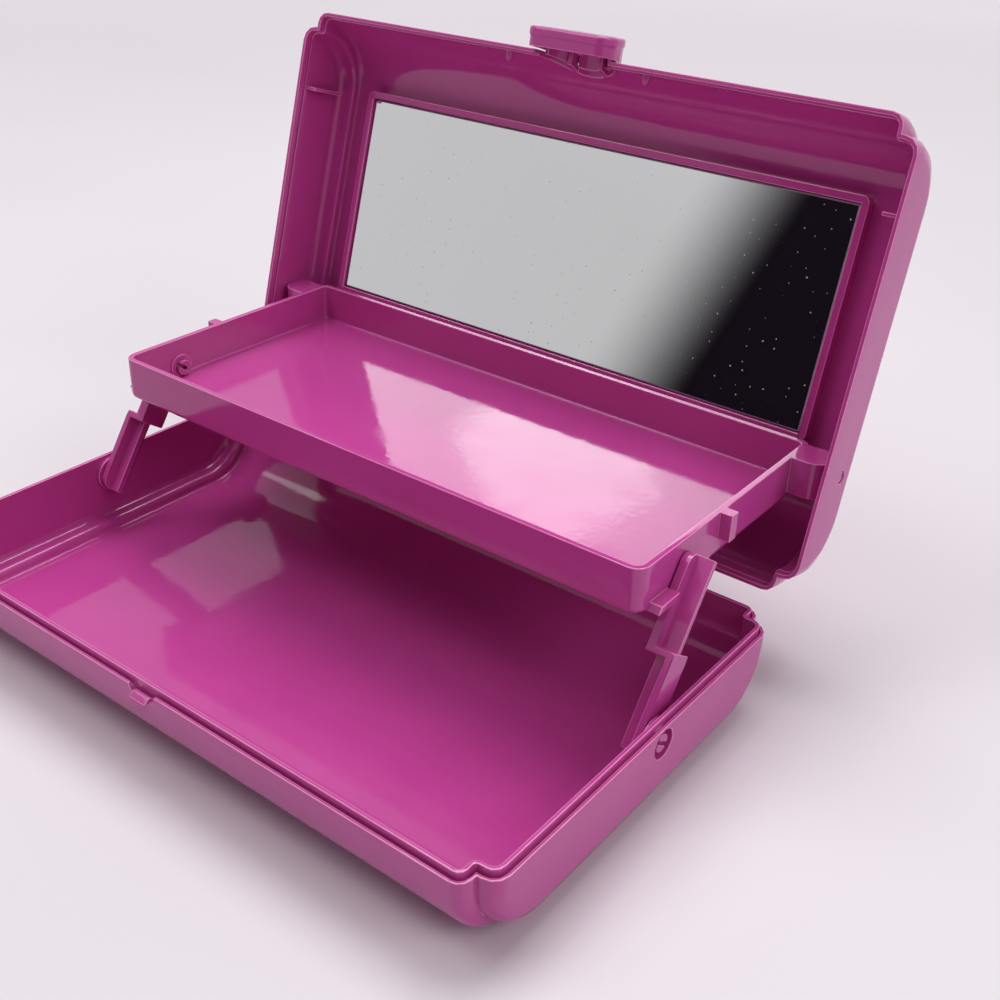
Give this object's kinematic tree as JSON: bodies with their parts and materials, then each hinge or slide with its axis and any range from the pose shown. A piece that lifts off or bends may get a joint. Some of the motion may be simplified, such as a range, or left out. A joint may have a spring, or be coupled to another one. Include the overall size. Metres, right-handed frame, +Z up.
{
  "type": "makeup organizer case",
  "caption": "Clamshell makeup organizer case in glossy plastic, with a mirror in the hinged lid, a front latch and a tray that rises on support arms as the lid opens.",
  "frame": {"origin": "on the table, under the middle of the base's flat underside", "axes": "+X along the long side to the right, +Y to the rear where the lid is hinged, +Z up"},
  "size_m": [0.235, 0.2105, 0.1753],
  "materials": {
    "magenta_plastic": "smooth glossy magenta moulding",
    "inlay_plastic": "smooth darker magenta plate",
    "mirror": "silvered flat glass",
    "tape": "double-sided foam tape",
    "steel": "drawn wire"
  },
  "bodies": {
    "base": {"base_shell": "magenta_plastic", "hinge_pin_left": "steel", "hinge_pin_right": "steel"},
    "lid": {"lid_shell": "magenta_plastic", "mirror_glass": "mirror", "mirror_adhesive": "tape", "latch_pin": "steel"},
    "tray": {"tray": "magenta_plastic"},
    "arm_left": {"support_arm_left": "magenta_plastic"},
    "arm_right": {"support_arm_right": "magenta_plastic"},
    "latch": {"latch_button": "magenta_plastic", "latch_inlay": "inlay_plastic"}
  },
  "joints": [
    {"name": "lid_hinge", "type": "hinge", "parent": "base", "child": "lid", "pos_m": [0, 0.0758, 0.0264], "axis": [1, 0, 0], "range_deg": [0, 105.8]},
    {"name": "tray_pivot", "type": "hinge", "parent": "lid", "child": "tray", "pos_m": [0, 0.1012, 0.06328], "axis": [1, 0, 0], "range_deg": [-105.8, 0]},
    {"name": "arm_left_pivot", "type": "hinge", "parent": "base", "child": "arm_left", "pos_m": [0, 0.0065, 0.0216], "axis": [1, 0, 0], "range_deg": [0, 105.8]},
    {"name": "arm_right_pivot", "type": "hinge", "parent": "base", "child": "arm_right", "pos_m": [0, 0.0065, 0.0216], "axis": [1, 0, 0], "range_deg": [0, 105.8]},
    {"name": "latch_hinge", "type": "hinge", "parent": "lid", "child": "latch", "pos_m": [0, 0.12746, 0.16746], "axis": [1, 0, 0], "range_deg": [-7, 0]}
  ],
  "couplings": [
    {"joint": "tray_pivot", "follows": "lid_hinge", "ratio": -1},
    {"joint": "arm_left_pivot", "follows": "lid_hinge", "ratio": 1},
    {"joint": "arm_right_pivot", "follows": "lid_hinge", "ratio": 1}
  ]
}
